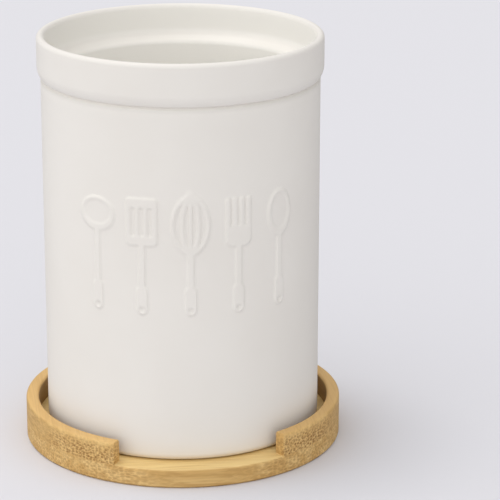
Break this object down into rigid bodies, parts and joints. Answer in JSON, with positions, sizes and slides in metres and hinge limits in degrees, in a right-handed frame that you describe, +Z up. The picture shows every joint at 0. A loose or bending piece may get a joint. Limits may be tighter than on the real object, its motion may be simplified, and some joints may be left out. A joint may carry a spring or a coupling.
{
  "type": "utensil crock",
  "caption": "Open round stoneware jar with a banded rim and an inner shoulder, for kitchen utensils, loose in a round bamboo tray with a front notch.",
  "frame": {"origin": "centre of the tray's underside, where it rests on the worktop", "axes": "+Z up along the jar's axis; -Y is the front, where the tray's ring is notched; +X is the object's right-hand side seen from the front"},
  "size_m": [0.136, 0.136, 0.1765],
  "materials": {
    "glazed_stoneware": "satin off-white glaze",
    "bamboo": "sanded, light oil"
  },
  "bodies": {
    "tray": {"bamboo_disc": "bamboo", "bamboo_ring": "bamboo"},
    "jar": {"stoneware_jar": "glazed_stoneware"}
  },
  "joints": [
    {"name": "jar_lift", "type": "slide", "parent": "tray", "child": "jar", "axis": [0, 0, 1], "range_m": [0, 0.05]}
  ]
}
